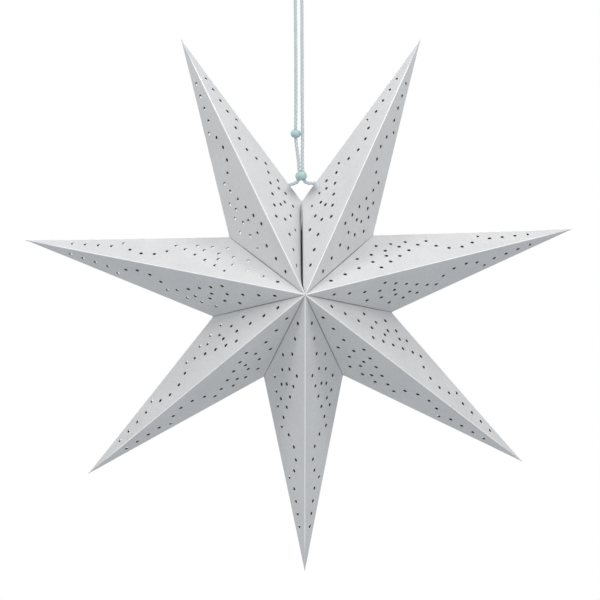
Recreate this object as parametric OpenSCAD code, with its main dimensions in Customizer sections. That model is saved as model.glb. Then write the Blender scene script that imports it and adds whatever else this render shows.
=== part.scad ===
// Folded paper star with seven hollow points, hung by a cord with two beads.
// Z is up, X is to the right and the front of the star faces -Y.
// The origin is where a hook or nail carries the cord's loop.

/* [Star] */
// Distance from the star's axis to the tip of each point
tip_radius = 225; // [200:5:260]
// Distance from the star's axis to each valley corner
valley_radius = 74; // [66:1:82]
// Distance from the middle plane to the front and back centres
half_depth = 70; // [60:1:80]
// Distance from the star's axis up to the hanging loop's bearing point
hang_height = 255; // [250:1:260]

/* [Card] */
// Thickness of the card
card = 0.4; // [0.3:0.1:0.8]
// Width of the glue strips folded in along the valleys
strip_width = 8; // [5:1:12]
// Distance from the star's axis at which the glue strips stop
strip_stop = 2; // [1.5:0.5:5]
// Diameter of the opening left where all the points meet
apex_gap = 1.2; // [0.6:0.2:3]
// Depth to which each edge of the open top seam bows inwards
seam_bow = 1; // [0.2:0.1:2]

/* [Punched holes] */
// Diameter of the punched holes
hole_d = 2.6; // [1.6:0.1:3]
// Row toward the tip: shares toward tip and apex at its start and at its end
tip_row = [0.622, 0.12, 0.797, 0.072]; // [0:0.001:1]
// Number of holes in the row toward the tip
tip_row_holes = 4; // [2:1:4]
// Scalloped row: shares toward tip and apex at its start and at its end
scallop_row = [0.307, 0.126, 0.555, 0.09]; // [0:0.001:1]
// Number of holes in the scalloped row
scallop_row_holes = 6; // [3:1:7]
// Height of the scallop as a share of its width
scallop_rise = 0.33; // [0.1:0.01:0.4]
// Slanting row: shares toward tip and apex at its start and at its end
slant_row = [0.235, 0.571, 0.291, 0.192]; // [0:0.001:1]
// Number of holes in the slanting row
slant_row_holes = 5; // [2:1:6]
// Row toward the apex: shares toward tip and apex at its start and at its end
apex_row = [0.047, 0.769, 0.192, 0.379]; // [0:0.001:1]
// Number of holes in the row toward the apex
apex_row_holes = 5; // [2:1:6]
// Middle row: shares toward tip and apex at its start and at its end
middle_row = [0.058, 0.403, 0.198, 0.21]; // [0:0.001:1]
// Number of holes in the middle row
middle_row_holes = 4; // [2:1:5]
// Row beside the outline fold: shares at its start and at its end
edge_row = [0.081, 0.186, 0.212, 0.138]; // [0:0.001:1]
// Number of holes in the row beside the outline fold
edge_row_holes = 3; // [2:1:3]

/* [Hanging cord] */
// Diameter of the cord
cord_d = 2.6; // [2:0.1:2.6]
// Clearance between the cord and what it passes through
cord_clearance = 0.2; // [0.1:0.1:0.4]
// Distance from the top valley corner to the left cord hole, along the fold
left_hole_at = 16.5; // [16:0.5:17]
// Distance from the top valley corner to the right cord hole, along the fold
right_hole_at = 18; // [17.5:0.5:18.5]
// Diameter of the knots inside the two top points
knot_d = 6.2; // [4:0.2:6.2]

/* [Beads] */
// Diameter of the upper bead, on the left leg of the cord
upper_bead_d = 8.2; // [6:0.2:8.2]
// Height of the upper bead
upper_bead_h = 6.4; // [5:0.2:7]
// Diameter of the lower bead, on both legs of the cord
lower_bead_d = 9.4; // [9:0.2:12]
// Height of the lower bead
lower_bead_h = 8; // [7:0.2:9]

/* [Hidden] */

$fn = 48;
hole_sides = 24;
eps = 0.01;
// Cutters reach this far past what they cut
margin = 2;
// The strips begin this far inside the folds, so that each joins its panel within the card
strip_inset = card / 4;
// Half the thickness of the glue between two neighbouring strips
glue_film = 0.02;
point_count = 7;
point_step = 360 / point_count;
// Angle of the upper right point from +X before it leans
first_angle = 90 - point_step / 2;
// Lean of each point in degrees, from the upper right one and on leftwards
point_lean = [0, -0.9, 1.3, 0.9, -0.1, 0.5, -0.2];
// Number of straight facets along the bow of a seam edge
bow_facets = 12;
// The bow is skewed toward the apex by one power and flattened in its middle by the other
bow_skew = 1.3;
bow_fullness = 3;
// The panel's blank is larger than the panel by this factor before it is cut
blank_factor = 1.2;

// Route of the cord as [x, z], from the left knot round the loop to the right knot
cord_route = [
    [-10.9, -168.2], [-8, -167.4], [-5, -166.6], [-3, -165.5], [-1.6, -163.7],
    [-1.1, -161.5], [-1.1, -157], [-1.7, -148], [-2.7, -139], [-3.6, -131],
    [-3.6, -122], [-3.2, -107], [-2.8, -70], [-2.6, -27], [-2.6, -20],
    [-2.9, -16.5], [-4, -12], [-5.1, -8], [-5.5, -4.2], [-3.9, -0.3],
    [0, 1.3], [3.9, -0.3], [5.5, -4.2], [5.1, -8], [4, -12],
    [2.9, -16.5], [2.6, -20], [2.6, -27], [2.2, -70], [1.9, -107],
    [1.9, -131], [1.6, -139], [1.5, -148], [1.7, -157], [1.7, -161.4],
    [2.4, -164], [4.3, -165.9], [6.9, -166.6], [10.5, -166.6], [14, -166.6]
];
// Places of the beads' centres as [x, z]
upper_bead_at = [-3.6, -126.7];
lower_bead_at = [0.3, -160.5];
cord_sides = 8;
ring_spacing = 3 * cord_d;
leg_spread = 2.8;
lower_bore_d = leg_spread + cord_d + cord_clearance;
upper_bore_d = cord_d + cord_clearance;
// Flare of the lower bead's bore, where the two legs bend apart
flare = 1.2;
// Flat on each knot where the cord's end meets it
knot_flat = sqrt(pow(knot_d / 2, 2) - pow(cord_d / 2 + cord_clearance / 2, 2));

function unit(v) = v / norm(v);
function point_angle(i) = first_angle + i * point_step + point_lean[i % point_count];
// Half angle of point i on its side toward the next point (side 1) or the last (side -1)
function half_angle(i, side) = side > 0
    ? (point_lean[(i + 1) % point_count] - point_lean[i] + point_step) / 2
    : (point_lean[i] - point_lean[(i + point_count - 1) % point_count] + point_step) / 2;

// Corners of a panel in its point's own frame: the point lies along +X, the front is +Z
function tip_corner() = [tip_radius, 0, 0];
function apex_corner() = [0, 0, half_depth];
function valley_corner(a) = valley_radius * [cos(a), sin(a), 0];
function panel_u(a) = unit(tip_corner() - valley_corner(a));
function panel_in(a) = unit(cross(tip_corner() - valley_corner(a), apex_corner() - valley_corner(a)));
function panel_w(a) = cross(panel_in(a), panel_u(a));
// A corner in the panel's own plane, from the valley corner
function flat(a, p) = [(p - valley_corner(a)) * panel_u(a), (p - valley_corner(a)) * panel_w(a)];
// Holes of one row in the panel's plane, on a straight line or on an arc
function arc_point(p, q, rise, t) =
    let (width = norm(q - p), u = (q - p) / width, n = [-u[1], u[0]],
         radius = width * (0.25 + rise * rise) / (2 * rise),
         span = asin(width / (2 * radius)), turn = span * (2 * t - 1))
    (p + q) / 2 + radius * (sin(turn) * u + (cos(turn) - cos(span)) * n);
function row_holes(a, row, count, rise = 0) =
    let (tip = flat(a, tip_corner()), apex = flat(a, apex_corner()),
         p = row[0] * tip + row[1] * apex, q = row[2] * tip + row[3] * apex)
    [for (k = [0:count - 1]) let (t = k / (count - 1))
        rise > 0 ? arc_point(p, q, rise, t) : p + t * (q - p)];
// Depth of the seam edge's bow at a share t of the way from valley corner to apex
function bow(t) = seam_bow * (1 - pow(abs(2 * pow(t, bow_skew) - 1), bow_fullness));
// Place on an outline fold at a distance from its valley corner, as [x, z]
function fold_place(i, side, distance) =
    let (valley_angle = point_angle(i) + side * half_angle(i, side),
         valley = valley_radius * [cos(valley_angle), sin(valley_angle)],
         tip = tip_radius * [cos(point_angle(i)), sin(point_angle(i))])
    valley + distance * unit(tip - valley) - [0, hang_height];

// Rows of tube rings along the cord's route, in the plane y = 0
function route_tangent(r, i) = unit(r[min(i + 1, len(r) - 1)] - r[max(i - 1, 0)]);
function dense(r) = concat(
    [for (i = [0:len(r) - 2]) let (n = ceil(norm(r[i + 1] - r[i]) / ring_spacing))
        for (k = [0:n - 1]) r[i] + k / n * (r[i + 1] - r[i])],
    [r[len(r) - 1]]);
function ring(p, t) = [for (k = [0:cord_sides - 1]) let (s = k * 360 / cord_sides)
    [p[0] + cord_d / 2 * cos(s) * t[1], cord_d / 2 * sin(s), p[1] - cord_d / 2 * cos(s) * t[0]]];

// Moves a flat shape from a plane given by its origin and two directions into place
module onto(origin, u, v) {
    n = cross(u, v);
    multmatrix([[u[0], v[0], n[0], origin[0]],
                [u[1], v[1], n[1], origin[1]],
                [u[2], v[2], n[2], origin[2]]])
        children();
}

// The space of one quarter of a point, between its ridge, middle and side planes
module quarter_space(a) {
    reach = 2 * tip_radius;
    difference() {
        linear_extrude(half_depth + eps)
            polygon([[0, 0], [reach, 0], reach * [cos(a), sin(a)]]);
        translate([0, 0, -eps])
            cylinder(h = half_depth + margin, d = apex_gap);
    }
}

// One panel's sheet of card with its punched holes, larger than the panel all round
module panel_blank(a) {
    corners = [for (p = [valley_corner(a), tip_corner(), apex_corner()]) flat(a, p)];
    middle = (corners[0] + corners[1] + corners[2]) / 3;
    holes = concat(
        row_holes(a, tip_row, tip_row_holes),
        row_holes(a, scallop_row, scallop_row_holes, scallop_rise),
        row_holes(a, slant_row, slant_row_holes),
        row_holes(a, apex_row, apex_row_holes),
        row_holes(a, middle_row, middle_row_holes),
        row_holes(a, edge_row, edge_row_holes));
    onto(valley_corner(a), panel_u(a), panel_w(a))
        linear_extrude(card)
            difference() {
                polygon([for (p = corners) middle + blank_factor * (p - middle)]);
                for (p = holes)
                    translate(p)
                        circle(d = hole_d, $fn = hole_sides);
            }
}

// Flat glue strip in the side plane of a point, front half
module glue_strip(a) {
    slope = half_depth / valley_radius;
    steepness = half_depth / norm([valley_radius, half_depth]);
    outer = valley_radius - strip_inset / steepness;
    inner = valley_radius - strip_width / steepness;
    rotate([0, 0, a])
        rotate([90, 0, 0])
            translate([0, 0, glue_film])
                linear_extrude(card)
                    polygon([[outer, 0],
                             [strip_stop, (outer - strip_stop) * slope],
                             [strip_stop, (inner - strip_stop) * slope],
                             [inner, 0]]);
}

// Directions along, across and into a seam edge, which runs from valley to apex
module along_seam(a) {
    onto(valley_corner(a), unit(apex_corner() - valley_corner(a)), [sin(a), -cos(a), 0])
        children();
}

// Glue strip that bows into its point along the open seam, front half
module bowed_strip(a) {
    edge = norm(apex_corner() - valley_corner(a));
    steps = [for (k = [0:bow_facets]) k / bow_facets];
    intersection() {
        along_seam(a)
            translate([0, 0, -strip_width])
                linear_extrude(strip_width - strip_inset)
                    polygon(concat(
                        [for (t = steps) [t * edge, bow(t)]],
                        [for (k = [bow_facets:-1:0]) [steps[k] * edge, bow(steps[k]) + card]]));
        difference() {
            quarter_space(a);
            translate([0, 0, -margin])
                cylinder(h = half_depth + 2 * margin, r = strip_stop);
        }
    }
}

// Space between a bowed seam edge and the side plane of its point
module seam_space(a) {
    edge = norm(apex_corner() - valley_corner(a));
    along_seam(a)
        translate([0, 0, -strip_width])
            linear_extrude(strip_width + margin)
                polygon(concat(
                    [for (k = [0:bow_facets]) [k / bow_facets * edge, bow(k / bow_facets)]],
                    [[edge, -margin], [0, -margin]]));
}

// Front half of one side of a point: a panel and its glue strip
module quarter(a, open_seam) {
    difference() {
        intersection() {
            panel_blank(a);
            quarter_space(a);
        }
        if (open_seam) seam_space(a);
    }
    if (open_seam) bowed_strip(a);
    else glue_strip(a);
}

// One point of the star, folded from a single card
module folded_point(i, seam_side = 0) {
    for (side = [1, -1])
        mirror([0, side < 0 ? 1 : 0, 0])
            for (face = [0, 1])
                mirror([0, 0, face])
                    quarter(half_angle(i, side), side == seam_side);
}

// Puts point i in its place round the star's axis
module place_point(i) {
    translate([0, 0, -hang_height])
        rotate([90, 0, 0])
            rotate([0, 0, point_angle(i)])
                children();
}

// Cord hole through an outline fold, in line with the cord that passes through it
module cord_hole(from, to) {
    direction = to - from;
    translate([from[0], 0, from[1]])
        rotate([0, 90 - atan2(direction[1], direction[0]), 0])
            translate([0, 0, -knot_d])
                cylinder(h = 2 * knot_d, d = cord_d + 2 * cord_clearance);
}

module point_upper_right() {
    color("gainsboro")
        difference() {
            place_point(0) folded_point(0, 1);
            cord_hole(fold_place(0, 1, right_hole_at), cord_route[len(cord_route) - 1]);
        }
}

module point_upper_left() {
    color("gainsboro")
        difference() {
            place_point(1) folded_point(1, -1);
            cord_hole(fold_place(1, -1, left_hole_at), cord_route[0]);
        }
}

module point_left() {
    color("gainsboro")
        place_point(2) folded_point(2);
}

module point_lower_left() {
    color("gainsboro")
        place_point(3) folded_point(3);
}

module point_bottom() {
    color("gainsboro")
        place_point(4) folded_point(4);
}

module point_lower_right() {
    color("gainsboro")
        place_point(5) folded_point(5);
}

module point_right() {
    color("gainsboro")
        place_point(6) folded_point(6);
}

module hanging_cord() {
    line = dense(cord_route);
    count = len(line);
    rings = [for (i = [0:count - 1]) each ring(line[i], route_tangent(line, i))];
    color("lightsteelblue")
        polyhedron(rings, concat(
            [[for (k = [0:cord_sides - 1]) k]],
            [for (i = [0:count - 2], k = [0:cord_sides - 1])
                let (m = (k + 1) % cord_sides, b = i * cord_sides)
                [b + m, b + k, b + k + cord_sides, b + m + cord_sides]],
            [[for (k = [cord_sides - 1:-1:0]) (count - 1) * cord_sides + k]]));
}

// A turned bead: its rim is a true arc as high as the bead
module bead(d, h, bore, flare = 0) {
    rotate_extrude()
        difference() {
            translate([(d - h) / 2, 0])
                circle(d = h);
            translate([-h, -h])
                square([h + bore / 2, 2 * h]);
            polygon([[0, -h / 8], [bore / 2, -h / 8], [bore / 2 + flare, -h / 2], [0, -h / 2]]);
        }
}

module upper_bead() {
    color("lightblue")
        translate([upper_bead_at[0], 0, upper_bead_at[1]])
            bead(upper_bead_d, upper_bead_h, upper_bore_d);
}

module lower_bead() {
    color("lightblue")
        translate([lower_bead_at[0], 0, lower_bead_at[1]])
            bead(lower_bead_d, lower_bead_h, lower_bore_d, flare);
}

// The knot at an end of the cord, with a flat where the cord's end meets it
module knot(end, before) {
    direction = end - before;
    translate([end[0], 0, end[1]])
        rotate([0, 90 - atan2(direction[1], direction[0]), 0])
            difference() {
                translate([0, 0, knot_flat])
                    sphere(d = knot_d);
                translate([-knot_d, -knot_d, -2 * knot_d])
                    cube(2 * knot_d);
            }
}

module left_knot() {
    color("lightsteelblue")
        knot(cord_route[0], cord_route[1]);
}

module right_knot() {
    color("lightsteelblue")
        knot(cord_route[len(cord_route) - 1], cord_route[len(cord_route) - 2]);
}

point_upper_right();
point_upper_left();
point_left();
point_lower_left();
point_bottom();
point_lower_right();
point_right();
hanging_cord();
upper_bead();
lower_bead();
left_knot();
right_knot();
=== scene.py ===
"""The looks of the folded paper star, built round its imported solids.

Z is up, X is to the right, the front faces -Y, and the origin is where the cord's loop is carried.
Blender works in metres. The shapes below are worked out in millimetres, as in the part's source,
and every mesh is scaled by MM when it is made.
"""

import math

import bpy
import numpy as np
from mathutils import Matrix, Vector, geometry, kdtree


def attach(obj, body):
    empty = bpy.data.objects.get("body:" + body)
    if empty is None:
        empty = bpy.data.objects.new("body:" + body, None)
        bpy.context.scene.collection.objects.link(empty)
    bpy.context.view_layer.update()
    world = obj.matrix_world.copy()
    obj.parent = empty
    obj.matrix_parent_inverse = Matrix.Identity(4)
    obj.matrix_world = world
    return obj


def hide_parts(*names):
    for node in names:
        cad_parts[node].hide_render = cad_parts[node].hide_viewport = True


MM = 0.001

# The star's driving sizes
HANG_HEIGHT = 255.0
TIP_RADIUS = 225.0
VALLEY_RADIUS = 74.0
HALF_DEPTH = 70.0
CARD = 0.4
POINT_STEP = 360 / 7
FIRST_ANGLE = 90 - POINT_STEP / 2
POINTS = ["upper_right", "upper_left", "left", "lower_left", "bottom", "lower_right", "right"]
POINT_LEAN = [0, -0.9, 1.3, 0.9, -0.1, 0.5, -0.2]

# Roundings of the folds: their radii, and the least length over which one runs out at its ends
RIDGE_FOLD_RADIUS = 0.55
OUTLINE_FOLD_RADIUS = 0.55
VALLEY_FOLD_RADIUS = 0.9
LEAST_TAPER = 3.0

# Glue strips, the groove that shows between two glued ones, and the opening at the apex
STRIP_WIDTH = 8.0
STRIP_STOP = 2.0
VALLEY_GAP = 0.2
GROOVE_DEPTH = 3.0
APEX_OPENING = 0.3

# The seam that stands open between the two top points: for each of its sides the gap at its middle,
# how far it sways toward the apex, and the radius of its fold. Its strips draw together with depth.
SEAM_SIDES = {("upper_right", 1): (0.6, -1.5, 0.5), ("upper_left", -1): (1.4, 1.5, 27)}
SEAM_DEPTH = 7.0
SEAM_CLOSES = 0.65

# How far the middle of a panel stands out: on two panels, and the most on the others
CROWNS = {("upper_left", -1): 1.2, ("upper_right", 1): 0.5}
CROWN_MOST = 0.35

# Painted shade of the cord's dent in the card: how far below the cord's hole, and how far it fades up,
# down and inward.
DENT_SHADE_DROP, DENT_SHADE_UP, DENT_SHADE_DOWN, DENT_SHADE_INWARD = 3.5, 2.0, 8.5, 10

# Near the tip the folds aren't whitened by their wear and painted highlight: the stretch over which the
# whitening fades, and how much further from its fold the card at the tip is counted
TIP_UNWHITENED = 35
TIP_SPARED = 1.3

# Punched holes: each row's shares toward tip and apex at its start and end, and its count
HOLE_D = 3.0
STRAIGHT_ROWS = [
    ((0.619, 0.126), (0.793, 0.074), 4),
    ((0.226, 0.582), (0.285, 0.203), 5),
    ((0.048, 0.780), (0.187, 0.383), 5),
    ((0.056, 0.420), (0.200, 0.226), 4),
    ((0.077, 0.200), (0.204, 0.145), 3),
]
SCALLOP_ROW = ((0.306, 0.138), (0.545, 0.083), 6)
SCALLOP_RISE = 0.33

# The cord: its thickness, how far from the valley corner it goes through two outline folds, the
# width of those holes, and its route as (x, z) from the left knot round the loop to the right knot
CORD_D = 2.6
CORD_HOLES = {("upper_right", 1): 18.0, ("upper_left", -1): 16.5}
CORD_HOLE_D = 3.0
CORD_ROUTE = [
    (-10.9, -168.2), (-8, -167.4), (-5, -166.6), (-3, -165.5), (-1.6, -163.7),
    (-1.1, -161.5), (-1.1, -157), (-1.7, -148), (-2.7, -139), (-3.6, -131),
    (-3.6, -122), (-3.2, -107), (-2.8, -70), (-2.6, -27), (-2.6, -20),
    (-2.9, -16.5), (-4, -12), (-5.1, -8), (-5.5, -4.2), (-3.9, -0.3),
    (0, 1.3), (3.9, -0.3), (5.5, -4.2), (5.1, -8), (4, -12),
    (2.9, -16.5), (2.6, -20), (2.6, -27), (2.2, -70), (1.9, -107),
    (1.9, -131), (1.6, -139), (1.5, -148), (1.7, -157), (1.7, -161.4),
    (2.4, -164), (4.3, -165.9), (6.9, -166.6), (10.5, -166.6), (14, -166.6),
]

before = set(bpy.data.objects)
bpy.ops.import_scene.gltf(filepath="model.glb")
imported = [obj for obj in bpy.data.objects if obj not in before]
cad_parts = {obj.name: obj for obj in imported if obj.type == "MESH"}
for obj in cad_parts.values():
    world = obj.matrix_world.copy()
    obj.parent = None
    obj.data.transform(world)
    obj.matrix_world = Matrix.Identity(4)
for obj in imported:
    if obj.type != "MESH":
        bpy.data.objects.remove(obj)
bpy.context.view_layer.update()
STAR_CENTRE = Vector((0, 0, -HANG_HEIGHT * MM))


def unit(v):
    """v at length one."""
    return np.asarray(v, float) / np.linalg.norm(v)


def smooth(t):
    """A smooth step from 0 to 1 for t from 0 to 1."""
    t = np.clip(t, 0, 1)
    return t * t * (3 - 2 * t)


# Camera


def add_camera():
    """The photograph's view: 1.2 m in front of the star, a little left of its centre and above it."""
    eye = STAR_CENTRE + Vector((-42, -1207.5, 20)) * MM
    target = STAR_CENTRE + Vector((-1.7, 0, -5.4)) * MM
    data = bpy.data.cameras.new("camera")
    data.angle = math.radians(22.6)
    camera = bpy.data.objects.new("camera", data)
    aim = (target - eye).to_track_quat("-Z", "Y").to_matrix().to_4x4()
    roll = Matrix.Rotation(math.radians(-0.67), 4, "Z")
    camera.matrix_world = Matrix.Translation(eye) @ aim @ roll
    bpy.context.scene.collection.objects.link(camera)
    bpy.context.scene.camera = camera


add_camera()


# Materials


def new_material(name, roughness, specular):
    """A node material and its shader, with the values that are the same all over set on its sockets."""
    material = bpy.data.materials.new(name)
    material.use_nodes = True
    shader = material.node_tree.nodes["Principled BSDF"]
    shader.inputs["Roughness"].default_value = roughness
    shader.inputs["Specular IOR Level"].default_value = specular
    return material, shader


def add_node(material, kind, **values):
    """A node of that kind, with its named inputs and settings given."""
    node = material.node_tree.nodes.new(kind)
    for key, value in values.items():
        if key in node.inputs:
            node.inputs[key].default_value = value
        else:
            setattr(node, key, value)
    return node


def link(material, source, target):
    """Links one socket to another."""
    material.node_tree.links.new(source, target)


def noise(material, scale, detail=3.0, stretch=(1, 1, 1)):
    """Noise in the object's own space, as a socket. scale is in waves per metre."""
    place = add_node(material, "ShaderNodeTexCoord")
    mapping = add_node(material, "ShaderNodeMapping", Scale=stretch)
    texture = add_node(material, "ShaderNodeTexNoise", Scale=scale, Detail=detail)
    link(material, place.outputs["Object"], mapping.inputs["Vector"])
    link(material, mapping.outputs["Vector"], texture.inputs["Vector"])
    return texture.outputs["Fac"]


def map_range(material, value, low, high, to_low, to_high):
    """value from low to high, brought to the range from to_low to to_high."""
    node = add_node(material, "ShaderNodeMapRange")
    for index, number in enumerate((low, high, to_low, to_high), 1):
        node.inputs[index].default_value = number
    link(material, value, node.inputs[0])
    return node.outputs[0]


def mix_colour(material, factor, a, b, blend="MIX"):
    """Two colours or colour sockets mixed by a factor socket."""
    node = add_node(material, "ShaderNodeMix", data_type="RGBA", blend_type=blend)
    for value, socket in ((factor, node.inputs[0]), (a, node.inputs[6]), (b, node.inputs[7])):
        if isinstance(value, bpy.types.NodeSocket):
            link(material, value, socket)
        else:
            socket.default_value = value
    return node.outputs[2]


def math_node(material, operation, a, b):
    """An arithmetic operation on sockets or numbers."""
    node = add_node(material, "ShaderNodeMath", operation=operation)
    for value, socket in ((a, node.inputs[0]), (b, node.inputs[1])):
        if isinstance(value, bpy.types.NodeSocket):
            link(material, value, socket)
        else:
            socket.default_value = value
    return node.outputs[0]


def add_bump(material, shader, height, strength, distance):
    """Bump from a height socket. distance is in metres."""
    node = add_node(material, "ShaderNodeBump", Strength=strength, Distance=distance)
    link(material, height, node.inputs["Height"])
    link(material, node.outputs["Normal"], shader.inputs["Normal"])


def card_material():
    """Matt light grey card, whitened along its outward folds, partly as wear and partly as a painted
    highlight, and darkened with painted shade just below the cord's holes.
    """
    material, shader = new_material("card_face", roughness=0.62, specular=0.28)
    fold = add_node(material, "ShaderNodeAttribute", attribute_name="fold_mm").outputs["Fac"]
    painted_dent_shade = add_node(material, "ShaderNodeAttribute", attribute_name="painted_dent_shade").outputs["Fac"]
    cloudy = map_range(material, noise(material, 35), 0.3, 0.7, 0, 0.35)
    mottled = map_range(material, noise(material, 900, detail=2.0), 0.3, 0.7, 0, 0.65)
    fibres = noise(material, 2600, detail=2.0, stretch=(1, 1, 0.45))
    grain = mix_colour(material, math_node(material, "ADD", cloudy, mottled),
                       (0.600, 0.605, 0.610, 1), (0.735, 0.739, 0.741, 1))
    grain = mix_colour(material, map_range(material, fibres, 0.35, 0.75, 0, 0.35),
                       grain, (0.625, 0.632, 0.638, 1))
    # Folds whitened: partly wear, partly a painted highlight where the rounded ridges catch the light
    uneven = map_range(material, noise(material, 900), 0, 1, -0.18, 0.18)
    wear_and_highlight = map_range(material, math_node(material, "ADD", fold, uneven), 0.50, 0.85, 1, 0)
    colour = mix_colour(material, wear_and_highlight, grain, (0.950, 0.950, 0.950, 1))
    # Painted shade: the card darkened just below each cord hole, where the cord pulls it into a dent
    colour = mix_colour(material, painted_dent_shade, colour, (0.300, 0.310, 0.325, 1))
    link(material, colour, shader.inputs["Base Color"])
    add_bump(material, shader, fibres, 0.35, 0.00004)
    return material


def card_inside_material():
    """The card's uncoated inner face, a warm grey board, darkened further as painted shade of the
    star's dim inside seen through the holes.
    """
    material, shader = new_material("card_inside", roughness=0.85, specular=0.15)
    fibres = noise(material, 1800)
    # Partly the board's own colour, partly painted shade of the unlit inside
    link(material, mix_colour(material, fibres, (0.200, 0.180, 0.160, 1), (0.250, 0.230, 0.210, 1)),
         shader.inputs["Base Color"])
    add_bump(material, shader, fibres, 0.4, 0.00005)
    return material


def cord_material():
    """Soft twisted cotton, pale grey-blue, with painted shade in the grooves between the strands and
    between their yarns, and fibres along the lay.
    """
    material, shader = new_material("cord_cotton", roughness=0.9, specular=0.12)
    shader.inputs["Sheen Weight"].default_value = 0.35
    depth = add_node(material, "ShaderNodeAttribute", attribute_name="depth_mm").outputs["Fac"]
    yarn = add_node(material, "ShaderNodeAttribute", attribute_name="yarn").outputs["Fac"]
    patches = noise(material, 160)
    colour = mix_colour(material, map_range(material, patches, 0.3, 0.7, 0, 1),
                        (0.600, 0.675, 0.695, 1), (0.665, 0.720, 0.735, 1))
    # Painted shade: the grooves between the yarns darkened
    colour = mix_colour(material, map_range(material, yarn, 0, 1, 0, 0.35), colour,
                        (0.420, 0.530, 0.570, 1))
    # Painted shade: the strands darkened where they turn in toward the cord's middle, between one
    # another
    colour = mix_colour(material, map_range(material, depth, 0.35, 1.0, 0.75, 0), colour,
                        (0.255, 0.345, 0.380, 1))
    link(material, colour, shader.inputs["Base Color"])
    height = math_node(material, "ADD", yarn, noise(material, 5000))
    add_bump(material, shader, height, 0.5, 0.00006)
    return material


def bead_material():
    """Satin paint in a pale grey-green over turned wood, thin enough to show some grain."""
    material, shader = new_material("bead_paint", roughness=0.38, specular=0.25)
    shader.inputs["Coat Weight"].default_value = 0.06
    shader.inputs["Coat Roughness"].default_value = 0.25
    grain = noise(material, 420, detail=4.0, stretch=(1, 1, 0.18))
    specks = noise(material, 2400)
    colour = mix_colour(material, map_range(material, grain, 0.35, 0.65, 0, 1),
                        (0.385, 0.540, 0.545, 1), (0.445, 0.600, 0.602, 1))
    colour = mix_colour(material, map_range(material, specks, 0.62, 0.8, 0, 0.3), colour,
                        (0.520, 0.655, 0.647, 1))
    link(material, colour, shader.inputs["Base Color"])
    add_bump(material, shader, math_node(material, "ADD", grain, specks), 0.25, 0.00006)
    return material


# Mesh making


def make_object(name, vertices, faces, materials, face_materials=None, attributes=None, sharp=40):
    """A mesh object from vertices in millimetres, smooth but for edges sharper than an angle."""
    mesh = bpy.data.meshes.new(name)
    mesh.from_pydata((np.asarray(vertices) * MM).tolist(), [], [list(map(int, f)) for f in faces])
    for material in materials:
        mesh.materials.append(material)
    if face_materials is not None:
        mesh.polygons.foreach_set("material_index", np.asarray(face_materials, np.int32))
    for key, values in (attributes or {}).items():
        attribute = mesh.attributes.new(key, "FLOAT", "POINT")
        attribute.data.foreach_set("value", np.asarray(values, np.float32))
    mesh.polygons.foreach_set("use_smooth", [True] * len(mesh.polygons))
    mesh.set_sharp_from_angle(angle=math.radians(sharp))
    mesh.validate()
    piece = bpy.data.objects.new(name, mesh)
    bpy.context.scene.collection.objects.link(piece)
    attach(piece, "root")
    return piece


# The folded points. Each is worked out in its own frame: X along the point, Y counterclockwise
# round the star's axis, Z toward the front. A panel is laid out flat for its front half on the
# counterclockwise side, and mirrored to the other three.


def point_angle(i):
    """Angle of point i round the star's axis, in degrees."""
    return FIRST_ANGLE + i * POINT_STEP + POINT_LEAN[i % 7]


def half_angle(i, side):
    """Half angle of point i on one side, in degrees."""
    lean, beside = POINT_LEAN[i % 7], POINT_LEAN[(i + side) % 7]
    return (side * (beside - lean) + POINT_STEP) / 2


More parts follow.
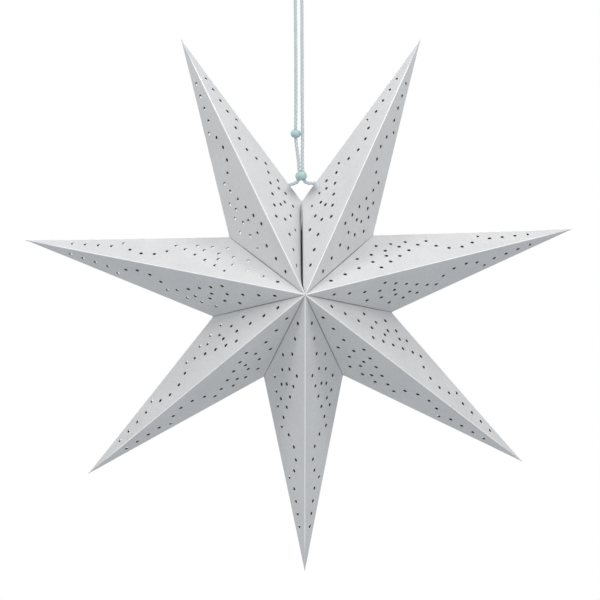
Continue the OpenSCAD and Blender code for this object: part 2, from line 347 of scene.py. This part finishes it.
class Panel:
    """One flat triangular panel: valley corner at the flat origin, tip along the first flat axis."""

    def __init__(self, half, seam=None, cord_hole=None):
        a = math.radians(half)
        self.valley = VALLEY_RADIUS * np.array([math.cos(a), math.sin(a), 0])
        self.tip = np.array([TIP_RADIUS, 0, 0])
        self.apex = np.array([0, 0, HALF_DEPTH])
        self.u = unit(self.tip - self.valley)
        self.out = -unit(np.cross(self.tip - self.valley, self.apex - self.valley))
        self.w = np.cross(-self.out, self.u)
        self.side_out = np.array([-math.sin(a), math.cos(a), 0])
        self.radial = np.array([math.cos(a), math.sin(a), 0])
        self.corners = {k: self.flat(p) for k, p in
                        (("valley", self.valley), ("tip", self.tip), ("apex", self.apex))}
        self.open_seam = seam is not None
        self.gap, self.sway, valley_radius = seam or (VALLEY_GAP, 0, VALLEY_FOLD_RADIUS)
        self.cord_hole = cord_hole
        mirrored_z = self.out * (1, 1, -1)
        mirrored_y = self.out * (1, -1, 1)
        self.folds = {
            "outline": self.fold("valley", "tip", mirrored_z, OUTLINE_FOLD_RADIUS),
            "ridge": self.fold("tip", "apex", mirrored_y, RIDGE_FOLD_RADIUS),
            "valley": self.fold("valley", "apex", self.side_out, valley_radius),
        }

    def flat(self, p):
        """A point of the panel's plane in its flat layout."""
        return np.array([(p - self.valley) @ self.u, (p - self.valley) @ self.w])

    def solid(self, q):
        """Points of the flat layout in the point's frame."""
        return self.valley + np.outer(q[:, 0], self.u) + np.outer(q[:, 1], self.w)

    def fold(self, start, end, next_out, radius):
        """A fold from one corner to another: its line, its inward direction and its rounding."""
        a, b = self.corners[start], self.corners[end]
        along = unit(b - a)
        inward = np.array([-along[1], along[0]])
        centre = sum(self.corners.values()) / 3
        if (centre - a) @ inward < 0:
            inward = -inward
        turn = math.acos(self.out @ next_out)
        tangent = radius * math.tan(turn / 2)
        return {"start": a, "along": along, "inward": inward, "length": np.linalg.norm(b - a),
                "turn": turn, "radius": radius, "tangent": tangent,
                "taper": max(LEAST_TAPER, 1.2 * tangent), "end_taper": max(LEAST_TAPER, 2 * tangent)}

    def share(self, name, x):
        """How much of a fold's rounding is left at x along it: none at its two corners."""
        fold = self.folds[name]
        return smooth(x / fold["taper"]) * smooth((fold["length"] - x) / fold["end_taper"])

    def bow(self, x, open_share=1.0):
        """How far the valley edge bows into the panel, in its plane, at x from the valley corner."""
        t = np.clip(x / self.folds["valley"]["length"], 0, 1)
        sway = self.sway * smooth(t / 0.95) * smooth((1 - t) / 0.1)
        bowed = open_share * self.gap * (1 - np.abs(2 * t - 1) ** 3)
        return (bowed + sway) / abs(self.out @ self.side_out)

    def near(self, name, q):
        """Distance from a fold, share of its rounding that is left there, and place along it."""
        fold = self.folds[name]
        x = (q - fold["start"]) @ fold["along"]
        s = (q - fold["start"]) @ fold["inward"]
        if name == "valley":
            s = s - self.bow(x)
        return s, self.share(name, x), x

    def shaped(self, q, crown):
        """Flat points brought to their place on the folded card, with rounded folds.

        crown is how far the panel's middle stands out, where the product of the shares is 1/27.
        """
        place = self.solid(q)
        for name, fold in self.folds.items():
            s, share, _ = self.near(name, q)
            radius, tangent = fold["radius"] * share, fold["tangent"] * share
            inside = s < tangent - 1e-9
            theta = np.where(inside, fold["turn"] / 2 * (1 - s / np.maximum(tangent, 1e-9)), 0)
            shift = np.where(inside, tangent - radius * np.sin(theta) - s, 0)
            drop = np.where(inside, radius * (1 - np.cos(theta)), 0)
            in_plane = fold["inward"][0] * self.u + fold["inward"][1] * self.w
            place += np.outer(shift, in_plane) - np.outer(drop, self.out)
        shares = self.barycentric(q)
        return place + np.outer(crown * 27 * np.clip(shares, 0, 1).prod(1), self.out)

    def painted_dent_shade(self, q):
        """How much painted shade darkens flat points just below the cord's hole, where the cord pulls
        the card into a dent.
        """
        if not self.cord_hole:
            return np.zeros(len(q))
        above = q[:, 0] - self.cord_hole + DENT_SHADE_DROP
        along = above / np.where(above > 0, DENT_SHADE_UP, DENT_SHADE_DOWN)
        return np.exp(-along ** 2 - (q[:, 1] / DENT_SHADE_INWARD) ** 2)

    def barycentric(self, q):
        """Shares of the three corners at flat points."""
        a, b, c = self.corners["valley"], self.corners["tip"], self.corners["apex"]
        area = np.cross(b - a, c - a)
        tip = np.cross(q - a, c - a) / area
        apex = np.cross(b - a, q - a) / area
        return np.stack([1 - tip - apex, tip, apex], 1)

    def holes(self):
        """Centres of the punched holes in the flat layout."""
        tip, apex = self.corners["tip"], self.corners["apex"]
        centres = []
        for start, end, count in STRAIGHT_ROWS:
            p, q = (s[0] * tip + s[1] * apex for s in (start, end))
            centres += [p + k / (count - 1) * (q - p) for k in range(count)]
        start, end, count = SCALLOP_ROW
        p, q = (s[0] * tip + s[1] * apex for s in (start, end))
        width, along = np.linalg.norm(q - p), unit(q - p)
        radius = width * (0.25 + SCALLOP_RISE ** 2) / (2 * SCALLOP_RISE)
        span = math.asin(width / (2 * radius))
        for k in range(count):
            turn = span * (2 * k / (count - 1) - 1)
            lift = radius * (math.cos(turn) - math.cos(span))
            centres.append((p + q) / 2 + radius * math.sin(turn) * along
                           + lift * np.array([-along[1], along[0]]))
        return np.array(centres)


# A panel's mesh: the steps along its edges and inside, and the ring of points round each hole
EDGE_STEP = 3.0
GRID_STEP = 3.2
HOLE_SIDES = 20
HOLE_LIP = 0.45


def panel_outline(panel):
    """The panel's edge as flat points in order, and how far along the valley the strip's points lie."""
    tip, apex = panel.corners["tip"], panel.corners["apex"]
    count = round(np.linalg.norm(tip) / EDGE_STEP)
    outline = [tip * k / count for k in range(count + 1)]
    if panel.cord_hole:
        radius = CORD_HOLE_D / 2
        arc = [np.array([panel.cord_hole - radius * math.cos(t), radius * math.sin(t)])
               for t in np.linspace(0, math.pi, 11)]
        before = [p for p in outline if p[0] < panel.cord_hole - radius - 0.6]
        after = [p for p in outline if p[0] > panel.cord_hole + radius + 0.6]
        outline = before + arc + after
    ridge_length = np.linalg.norm(apex - tip)
    ridge_end = ridge_length - APEX_OPENING * ridge_length / TIP_RADIUS
    count = round(ridge_length / EDGE_STEP)
    ridge = [tip + unit(apex - tip) * ridge_end * k / count for k in range(1, count + 1)]
    fold = panel.folds["valley"]
    slope = math.atan2(HALF_DEPTH, VALLEY_RADIUS)
    strip_end = (VALLEY_RADIUS - STRIP_STOP) / math.cos(slope)
    valley_end = fold["length"] - APEX_OPENING / math.cos(slope)
    count = round(strip_end / EDGE_STEP)
    places = [strip_end * k / count for k in range(1, count + 1)]
    past_strip = [(strip_end + valley_end) / 2, valley_end]
    valley = [fold["start"] + fold["along"] * x + fold["inward"] * panel.bow(np.array(x))
              for x in places + past_strip]
    return outline + ridge + valley[::-1], places


def panel_mesh(panel):
    """The panel's flat points and triangles, with finer rows along its folds and round its holes."""
    outline, strip_places = panel_outline(panel)
    points = list(outline)
    edges = [(k, (k + 1) % len(outline)) for k in range(len(outline))]
    holes = panel.holes()
    turns = np.arange(HOLE_SIDES) * 2 * math.pi / HOLE_SIDES
    circle = np.array([(math.cos(t), math.sin(t)) for t in turns])
    for centre in holes:
        first = len(points)
        points += list(centre + HOLE_D / 2 * circle)
        edges += [(first + k, first + (k + 1) % HOLE_SIDES) for k in range(HOLE_SIDES)]
        points += list(centre + (HOLE_D / 2 + HOLE_LIP) * circle)

    def add(candidates, least):
        """Adds candidates that lie inside the panel and not too near any point or hole."""
        p = np.asarray(candidates)
        for name in panel.folds:
            p = p[panel.near(name, p)[0] > 0.9 * min(least, 0.1)]
        p = p[nearest(p, holes) > HOLE_D / 2 + HOLE_LIP + least]
        if panel.cord_hole:
            p = p[nearest(p, np.array([[panel.cord_hole, 0]])) > CORD_HOLE_D / 2 + least]
        p = p[nearest(p, np.array(points)) > least]
        points.extend(p)

    for name, fold in panel.folds.items():
        count = round(fold["length"] / EDGE_STEP)
        places = np.linspace(0, fold["length"], count + 1)[1:-1]
        share = panel.share(name, places)
        for row in (1 / 3, 2 / 3, 1, "beside", "beyond"):
            if row == "beside":
                offset = fold["tangent"] * share + 0.3
            elif row == "beyond":
                offset = fold["tangent"] * share + 1.5
            else:
                offset = fold["tangent"] * share * row
            if name == "valley":
                offset = offset + panel.bow(places)
            rows = fold["start"] + np.outer(places, fold["along"]) + np.outer(offset, fold["inward"])
            add(rows, 0.12 if row != "beyond" else 0.6)
    low, high = np.min(outline, axis=0), np.max(outline, axis=0)
    rise = GRID_STEP * math.sqrt(3) / 2
    grid = [np.array([x + (j % 2) * GRID_STEP / 2, y])
            for j, y in enumerate(np.arange(low[1], high[1], rise))
            for x in np.arange(low[0], high[0], GRID_STEP)]
    add(grid, 0.55 * GRID_STEP)

    made = geometry.delaunay_2d_cdt([Vector(p) for p in points], edges, [], 0, 1e-6, True)
    flat = np.array([tuple(v) for v in made[0]])
    triangles = np.array([f for f in made[2] if len(f) == 3])
    centres = flat[triangles].mean(1)
    keep = np.ones(len(triangles), bool)
    for centre in holes:
        keep &= np.linalg.norm(centres - centre, axis=1) > 0.97 * HOLE_D / 2
    keep &= inside_outline(centres, np.array(outline))
    return flat, triangles[keep], strip_places


def nearest(points, others):
    """Distance from each flat point to the nearest of some others."""
    return np.sqrt(((points[:, None] - others[None]) ** 2).sum(2).min(1))


def inside_outline(points, outline):
    """Which flat points lie inside a closed outline."""
    inside = np.zeros(len(points), bool)
    x, y = points[:, 0], points[:, 1]
    for a, b in zip(outline, np.roll(outline, -1, axis=0)):
        crosses = (a[1] > y) != (b[1] > y)
        with np.errstate(divide="ignore", invalid="ignore"):
            at = (b[0] - a[0]) * (y - a[1]) / (b[1] - a[1]) + a[0]
        inside ^= crosses & (x < at)
    return inside


def strip_mesh(panel, places):
    """The glue strip that the card turns into at its valley edge, as rows of points and quads."""
    fold = panel.folds["valley"]
    slope = math.atan2(HALF_DEPTH, VALLEY_RADIUS)
    along = math.sin(slope) * np.array([0, 0, 1]) - math.cos(slope) * panel.radial
    down = -math.sin(slope) * panel.radial - math.cos(slope) * np.array([0, 0, 1])
    across = fold["inward"][0] * panel.u + fold["inward"][1] * panel.w
    fixed = np.array([0.0] + list(places))
    rounded = fold["tangent"]
    turning = min(rounded, STRIP_WIDTH - 2)
    rows = []
    for s in [turning * k / 3 for k in range(4)] + list(np.linspace(turning + 0.3, STRIP_WIDTH, 5)):
        start = s / math.tan(slope)
        end = (VALLEY_RADIUS - STRIP_STOP - s * math.sin(slope)) / math.cos(slope)
        x = start + fixed / fixed[-1] * (end - start)
        share = panel.share("valley", x)
        radius, tangent = fold["radius"] * share, rounded * share
        inside = s < tangent
        theta = np.where(inside, fold["turn"] / 2 * (1 - s / np.maximum(tangent, 1e-9)), 0)
        depth = np.where(inside, tangent - radius * np.sin(theta), s)
        drop = np.where(inside, radius * (1 - np.cos(theta)), 0)
        if panel.open_seam:
            open_share = 1 - SEAM_CLOSES * smooth(s / SEAM_DEPTH)
        else:
            open_share = 1 - smooth(s / GROOVE_DEPTH)
        rows.append(panel.valley + np.outer(x, along) + np.outer(panel.bow(x, open_share), across)
                    + np.outer(depth, down) - np.outer(drop, panel.side_out))
    width = len(fixed)
    quads = [(j * width + k, (j + 1) * width + k, (j + 1) * width + k + 1, j * width + k + 1)
             for j in range(len(rows) - 1) for k in range(width - 1)]
    return np.vstack(rows), quads


# How near each other vertices are joined, and the least lean that lengthens a thickened corner
WELD_REACH = 0.002
LEAST_LEAN = 0.55


def weld(vertices, faces, values):
    """Merges vertices that lie together, and drops faces that this leaves without an area."""
    tree = kdtree.KDTree(len(vertices))
    for n, v in enumerate(vertices):
        tree.insert(v, n)
    tree.balance()
    target = np.full(len(vertices), -1)
    kept = []
    for n, v in enumerate(vertices):
        if target[n] < 0:
            for _, m, _ in tree.find_range(v, WELD_REACH):
                target[m] = len(kept)
            kept.append(n)
    merged = []
    for face in faces:
        face = [target[k] for k in face]
        face = [k for j, k in enumerate(face) if k != face[j - 1]]
        if len(set(face)) > 2:
            merged.append(face)
    return vertices[kept], merged, np.asarray(values)[kept]


def thicken(vertices, faces, thickness):
    """A closed card from its outer face: the same face moved inward, and walls along free edges."""
    normals = np.zeros_like(vertices)
    face_normals = []
    for face in faces:
        p = vertices[face]
        n = np.cross(p[1] - p[0], p[2] - p[0])
        if len(face) == 4:
            n = n + np.cross(p[2] - p[0], p[3] - p[0])
        length = np.linalg.norm(n)
        n = n / length if length > 0 else n
        face_normals.append(n)
        for j, k in enumerate(face):
            a, b = p[j - 1] - p[j], p[(j + 1) % len(face)] - p[j]
            size = np.linalg.norm(a) * np.linalg.norm(b)
            if size > 0:
                normals[k] += n * math.acos(np.clip(a @ b / size, -1, 1))
    normals /= np.maximum(np.linalg.norm(normals, axis=1), 1e-12)[:, None]
    leaning = np.ones(len(vertices))
    for face, n in zip(faces, face_normals):
        for k in face:
            leaning[k] = min(leaning[k], max(n @ normals[k], LEAST_LEAN))
    inner = vertices - normals * (thickness / leaning)[:, None]
    for axis in (1, 2):
        side = np.sign(np.where(np.abs(vertices[:, axis]) < 1e-6, 0, vertices[:, axis]))
        crossed = inner[:, axis] * side < 0
        inner[crossed, axis] = 0
    count = len(vertices)
    seen = {}
    for face in faces:
        for j, k in enumerate(face):
            seen[(face[j - 1], k)] = True
    walls = [(b, a, a + count, b + count) for a, b in seen if (b, a) not in seen]
    back = [[k + count for k in reversed(face)] for face in faces]
    kinds = [0] * len(faces) + [1] * len(back) + [0] * len(walls)
    return np.vstack([vertices, inner]), list(faces) + back + walls, kinds


# Marks of card that has neither whitened folds nor painted shade: its distance from a fold, and its
# painted shade
UNMARKED = [20.0, 0.0]


def point_frame(i):
    """Rows that bring a place in point i's own frame to the star's frame, and the star's centre."""
    a = math.radians(point_angle(i))
    rows = np.array([[math.cos(a), 0, math.sin(a)], [-math.sin(a), 0, math.cos(a)], [0, -1, 0]])
    return rows, np.array([0, 0, -HANG_HEIGHT])


def make_point(i, materials):
    """One point of the star, folded from a single card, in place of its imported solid."""
    name = POINTS[i]
    vertices, faces, marks = [], [], []
    for side in (1, -1):
        key = (name, side)
        panel = Panel(half_angle(i, side), SEAM_SIDES.get(key), CORD_HOLES.get(key))
        flat, triangles, places = panel_mesh(panel)
        crown = CROWNS.get(key, CROWN_MOST * math.sin(2.3 * i + side))
        sheet = panel.shaped(flat, crown)
        # Distance from the whitened folds, which carry wear and a painted highlight
        reach = np.minimum(panel.near("outline", flat)[0], panel.near("ridge", flat)[0])
        from_tip = np.linalg.norm(flat - panel.corners["tip"], axis=1)
        reach = reach + TIP_SPARED * (1 - smooth(from_tip / TIP_UNWHITENED))
        # The second mark is the painted shade below the cord's holes
        sheet_marks = np.stack([reach, panel.painted_dent_shade(flat)], 1)
        strip, quads = strip_mesh(panel, places)
        strip_marks = np.tile(UNMARKED, (len(strip), 1))
        groups = [(sheet, triangles, sheet_marks, -1), (strip, quads, strip_marks, 1)]
        for face in (1, -1):
            first = sum(map(len, vertices))
            for group, shapes, mark, hand in groups:
                vertices.append(group * (1, side, face))
                marks.append(mark)
                for shape in shapes:
                    shape = [first + int(k) for k in shape]
                    faces.append(shape if hand * side * face > 0 else shape[::-1])
                first += len(group)
    vertices, faces, marks = weld(np.vstack(vertices), faces, np.vstack(marks))
    marks = np.vstack([marks, np.tile(UNMARKED, (len(marks), 1))])
    solid, faces, kinds = thicken(vertices, faces, CARD)
    rows, centre = point_frame(i)
    piece = make_object("card_" + name, solid @ rows + centre, faces, materials, kinds,
                        {"fold_mm": marks[:, 0], "painted_dent_shade": marks[:, 1]})
    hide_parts("point_" + name)
    return piece


# The cord, its knots and its fibres


def smooth_route(points, step):
    """A smooth line through (x, z) points in the plane y = 0, with points a step apart."""
    p = np.array([(x, 0.0, z) for x, z in points])
    p = np.vstack([2 * p[0] - p[1], p, 2 * p[-1] - p[-2]])
    fine = []
    for k in range(1, len(p) - 2):
        a, b, c, d = p[k - 1:k + 3]
        lengths = [np.linalg.norm(v) ** 0.5 for v in (b - a, c - b, d - c)]
        t0, t1 = 0, lengths[0]
        t2, t3 = t1 + lengths[1], t1 + lengths[1] + lengths[2]
        for t in np.linspace(t1, t2, 40, endpoint=False):
            ab = ((t1 - t) * a + (t - t0) * b) / (t1 - t0)
            bc = ((t2 - t) * b + (t - t1) * c) / (t2 - t1)
            cd = ((t3 - t) * c + (t - t2) * d) / (t3 - t2)
            abc = ((t2 - t) * ab + (t - t0) * bc) / (t2 - t0)
            bcd = ((t3 - t) * bc + (t - t1) * cd) / (t3 - t1)
            fine.append(((t2 - t) * abc + (t - t1) * bcd) / (t2 - t1))
    fine.append(p[-2])
    return even_steps(np.array(fine), step)


def even_steps(line, step):
    """A line with its points set an even step apart."""
    s = np.concatenate([[0], np.cumsum(np.linalg.norm(np.diff(line, axis=0), axis=1))])
    places = np.linspace(0, s[-1], max(2, round(s[-1] / step)) + 1)
    return np.stack([np.interp(places, s, line[:, k]) for k in range(3)], 1)


def frames_along(line):
    """Tangents along a line, and two directions across it that turn as little as they can."""
    tangents = np.gradient(line, axis=0)
    tangents /= np.linalg.norm(tangents, axis=1)[:, None]
    first = np.cross(tangents[0], (0, 1, 0))
    if np.linalg.norm(first) < 0.1:
        first = np.cross(tangents[0], (1, 0, 0))
    across = [unit(first)]
    for t in tangents[1:]:
        across.append(unit(across[-1] - (across[-1] @ t) * t))
    across = np.array(across)
    return tangents, across, np.cross(tangents, across)


# The cord's strands, where they lie and how thick they are as shares of its thickness, the length
# of one turn of them, and the yarns in each
STRANDS = 3
STRAND_OFFSET = 0.265
STRAND_RADIUS = 0.285
STRAND_SIDES = 14
LAY_LENGTH = 9.5
YARNS = 5


def strand_tubes(line, diameter):
    """Strands laid round a line: vertices, faces, distance from the line, and yarn relief."""
    offset, radius = STRAND_OFFSET * diameter, STRAND_RADIUS * diameter
    tangents, across, up = frames_along(line)
    s = np.concatenate([[0], np.cumsum(np.linalg.norm(np.diff(line, axis=0), axis=1))])
    vertices, faces, depth, yarn = [], [], [], []
    for k in range(STRANDS):
        turn = 2 * math.pi * (s / LAY_LENGTH + k / STRANDS)
        middle = line + offset * (np.cos(turn)[:, None] * across + np.sin(turn)[:, None] * up)
        first = sum(map(len, vertices))
        for j in range(STRAND_SIDES):
            angle = 2 * math.pi * j / STRAND_SIDES
            ripple = np.cos(YARNS * (angle - 1.6 * turn))
            reach = radius * (1 + 0.07 * ripple)
            sideways = (reach * np.cos(angle))[:, None] * across
            row = middle + sideways + (reach * np.sin(angle))[:, None] * up
            vertices.append(row)
            depth.append(np.linalg.norm(row - line, axis=1))
            yarn.append(0.5 - 0.5 * ripple)
        n = len(line)
        for j in range(STRAND_SIDES):
            a, b = first + j * n, first + (j + 1) % STRAND_SIDES * n
            faces += [(a + m, b + m, b + m + 1, a + m + 1) for m in range(n - 1)]
        faces.append([first + j * n for j in range(STRAND_SIDES)][::-1])
        faces.append([first + j * n + n - 1 for j in range(STRAND_SIDES)])
    return np.vstack(vertices), faces, np.concatenate(depth), np.concatenate(yarn)


def fibre_tubes(line, diameter, per_mm, seed):
    """Fine loose fibres that stand off a cord: short curved hairs with three sides."""
    draw = np.random.default_rng(seed)
    tangents, across, up = frames_along(line)
    length = np.linalg.norm(np.diff(line, axis=0), axis=1).sum()
    vertices, faces = [], []
    for _ in range(int(length * per_mm)):
        m = draw.integers(2, len(line) - 2)
        angle, lie = draw.uniform(0, 2 * math.pi), draw.uniform(-1, 1)
        out = math.cos(angle) * across[m] + math.sin(angle) * up[m]
        around = math.cos(angle) * up[m] - math.sin(angle) * across[m]
        run = unit(tangents[m] * lie + around * draw.uniform(-0.8, 0.8))
        reach, height = draw.uniform(0.5, 1.6), draw.uniform(0.10, 0.50)
        root = line[m] + out * diameter * 0.42
        width = draw.uniform(0.012, 0.022)
        first = len(vertices) * 3
        for t in (0, 0.35, 0.7, 1):
            lift = height * math.sin(math.pi * (0.15 + 0.6 * t)) + 0.08 * t
            middle = root + run * reach * t + out * lift
            thick = width * (1 - 0.75 * t)
            vertices.append([middle + thick * out, middle + thick * np.cross(run, out),
                             middle - thick * (out + np.cross(run, out)) * 0.7])
        for r in range(3):
            for j in range(3):
                a, b = first + r * 3 + j, first + r * 3 + (j + 1) % 3
                faces.append((a, b, b + 3, a + 3))
    return np.array(vertices).reshape(-1, 3), faces


def make_cord(material):
    """The hanging cord with its loose fibres."""
    line = smooth_route(CORD_ROUTE, 0.45)
    vertices, faces, depth, yarn = strand_tubes(line, CORD_D)
    cord = make_object("twisted_cord", vertices, faces, [material],
                       attributes={"depth_mm": depth, "yarn": yarn}, sharp=80)
    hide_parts("hanging_cord")
    hairs, hair_faces = fibre_tubes(line, CORD_D, per_mm=10, seed=7)
    outermost = {"depth_mm": np.full(len(hairs), CORD_D / 2), "yarn": np.zeros(len(hairs))}
    fibres = make_object("cord_fibres", hairs, hair_faces, [material], attributes=outermost)
    return cord, fibres, line


def make_knot(side, material):
    """An overhand knot at one end of the cord, inside a top point, with its cut tail."""
    end, before = (CORD_ROUTE[0], CORD_ROUTE[1]) if side == "left" else (CORD_ROUTE[-1], CORD_ROUTE[-2])
    onward = unit((end[0] - before[0], 0, end[1] - before[1]))
    across = np.array([0, 1, 0])
    up = np.cross(onward, across)
    middle = np.array([end[0], 0, end[1]]) + onward * 2.9
    t = np.linspace(0, 2 * math.pi, 90, endpoint=False)
    trefoil = np.stack([np.sin(t) + 2 * np.sin(2 * t), np.cos(t) - 2 * np.cos(2 * t),
                        -1.6 * np.sin(3 * t)], 1)
    loop = middle + 0.62 * (np.outer(trefoil[:, 2], onward) + np.outer(trefoil[:, 0], across)
                            + np.outer(trefoil[:, 1], up))
    loop = even_steps(np.vstack([loop, loop[:1]]), 0.4)
    tail = even_steps(np.array([middle, middle + onward * 4 + up, middle + onward * 7 + up * 2.5]), 0.4)
    parts = [strand_tubes(loop, CORD_D * 0.72), strand_tubes(tail, CORD_D * 0.8)]
    second = len(parts[0][0])
    faces = parts[0][1] + [tuple(k + second for k in f) for f in parts[1][1]]
    knot = make_object("knot_" + side, np.vstack([p[0] for p in parts]), faces, [material], attributes={
        "depth_mm": np.concatenate([p[2] for p in parts]),
        "yarn": np.concatenate([p[3] for p in parts])}, sharp=80)
    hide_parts(side + "_knot")
    return knot


# The beads


def make_bead(name, node, centre, diameter, height, bore, tilt, material):
    """A turned wooden bead: a round rim, eased edges at its bore and slightly uneven paint."""
    radius, ease = height / 2, 0.35
    start = math.acos(max(-1, min(1, (bore / 2 + ease - (diameter / 2 - radius)) / radius)))
    rim = [(diameter / 2 - radius + radius * math.cos(t), radius * math.sin(t))
           for t in np.linspace(-start, start, 29)]
    top = rim[-1][1]
    eased = [(bore / 2 + ease * (1 - math.sin(t)), top - ease * (1 - math.cos(t)))
             for t in np.linspace(0, math.pi / 2, 5)[1:]]
    bore_wall = [(bore / 2, z) for z in np.linspace(top - ease, -top + ease, 5)[1:-1]]
    profile = rim + eased + bore_wall + [(r, -z) for r, z in eased[::-1]]
    sides = 64
    vertices = []
    for k in range(sides):
        a = 2 * math.pi * k / sides
        for r, z in profile:
            uneven = 1 + 0.006 * math.sin(2 * a + 1) + 0.004 * math.sin(3 * a + z)
            vertices.append((r * uneven * math.cos(a), r * uneven * math.sin(a), z))
    n = len(profile)
    faces = []
    for k in range(sides):
        here, there = k * n, (k + 1) % sides * n
        faces += [(here + j, there + j, there + (j + 1) % n, here + (j + 1) % n) for j in range(n)]
    turn = np.array(Matrix.Rotation(math.radians(tilt), 3, "Y"))
    place = np.array(vertices) @ turn.T + np.array([centre[0], 0, centre[1]])
    bead = make_object(name, place, faces, [material])
    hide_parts(node)
    return bead


# Making the star


cord_cotton = cord_material()
cord, fibres, cord_line = make_cord(cord_cotton)
knots = [make_knot(side, cord_cotton) for side in ("left", "right")]
paint = bead_material()
beads = [
    make_bead("bead_upper", "upper_bead", (-3.6, -126.8), 8.4, 6.5, 2.8, 3, paint),
    make_bead("bead_lower", "lower_bead", (0.4, -160.8), 9.4, 8.6, 5.6, -6, paint),
]

card_faces = [card_material(), card_inside_material()]
for index in range(len(POINTS)):
    make_point(index, card_faces)


# Floor, light and background: the light from all round is cool, and the lamps are warmer

AMBIENT_COLOUR = (0.900, 0.947, 1.0)
LAMP_COLOUR = (1.0, 0.957, 0.92)


def add_floor():
    """A plain pale floor, far below the hanging star."""
    mesh = bpy.data.meshes.new("floor")
    reach, height = 5.0, -1.7
    mesh.from_pydata([(-reach, -reach, height), (reach, -reach, height), (reach, reach, height),
                      (-reach, reach, height)], [], [(0, 1, 2, 3)])
    floor = bpy.data.objects.new("floor", mesh)
    bpy.context.scene.collection.objects.link(floor)
    material, shader = new_material("floor_pale", roughness=0.9, specular=0.1)
    shader.inputs["Base Color"].default_value = (0.86, 0.865, 0.87, 1)
    seen = add_node(material, "ShaderNodeLightPath").outputs["Is Camera Ray"]
    shader.inputs["Emission Color"].default_value = (1, 1, 1, 1)
    link(material, map_range(material, seen, 0, 1, 0, 0.42), shader.inputs["Emission Strength"])
    mesh.materials.append(material)


def add_world(ambient):
    """White behind the star, and an even soft light from all round of its own strength."""
    world = bpy.data.worlds.new("studio")
    bpy.context.scene.world = world
    world.use_nodes = True
    nodes, links = world.node_tree.nodes, world.node_tree.links
    path = nodes.new("ShaderNodeLightPath")
    shown = nodes.new("ShaderNodeMath")
    shown.operation = "MAXIMUM"
    either = nodes.new("ShaderNodeMath")
    either.operation = "MAXIMUM"
    links.new(path.outputs["Is Camera Ray"], either.inputs[0])
    links.new(path.outputs["Is Glossy Ray"], either.inputs[1])
    links.new(either.outputs[0], shown.inputs[0])
    links.new(path.outputs["Is Transmission Ray"], shown.inputs[1])
    lighting, white, mix = (nodes.new("ShaderNodeBackground"), nodes.new("ShaderNodeBackground"),
                            nodes.new("ShaderNodeMixShader"))
    lighting.inputs["Color"].default_value = (*AMBIENT_COLOUR, 1)
    lighting.inputs["Strength"].default_value = ambient
    white.inputs["Color"].default_value = (1, 1, 1, 1)
    white.inputs["Strength"].default_value = 1
    links.new(shown.outputs[0], mix.inputs[0])
    links.new(lighting.outputs[0], mix.inputs[1])
    links.new(white.outputs[0], mix.inputs[2])
    links.new(mix.outputs[0], nodes["World Output"].inputs["Surface"])


def add_softbox(name, place, size, power):
    """A square soft light at a place relative to the star's centre, in metres, aimed at it."""
    data = bpy.data.lights.new(name, "AREA")
    data.shape = "SQUARE"
    data.size = size
    data.energy = power
    data.color = LAMP_COLOUR
    lamp = bpy.data.objects.new(name, data)
    lamp.location = STAR_CENTRE + Vector(place)
    lamp.rotation_euler = (-Vector(place)).to_track_quat("-Z", "Y").to_euler()
    bpy.context.scene.collection.objects.link(lamp)


add_floor()
add_world(ambient=0.575)
add_softbox("light_upper_left", (-0.8, -0.65, 0.95), 0.4, 4.5)
add_softbox("light_upper_right", (0.8, -0.65, 0.95), 0.4, 4.45)
add_softbox("light_above", (0.0, -0.35, 0.95), 0.5, 1.7)
add_softbox("light_front", (0.0, -1.6, 0.1), 1.0, 4.3)

bpy.context.scene.view_settings.view_transform = "Standard"
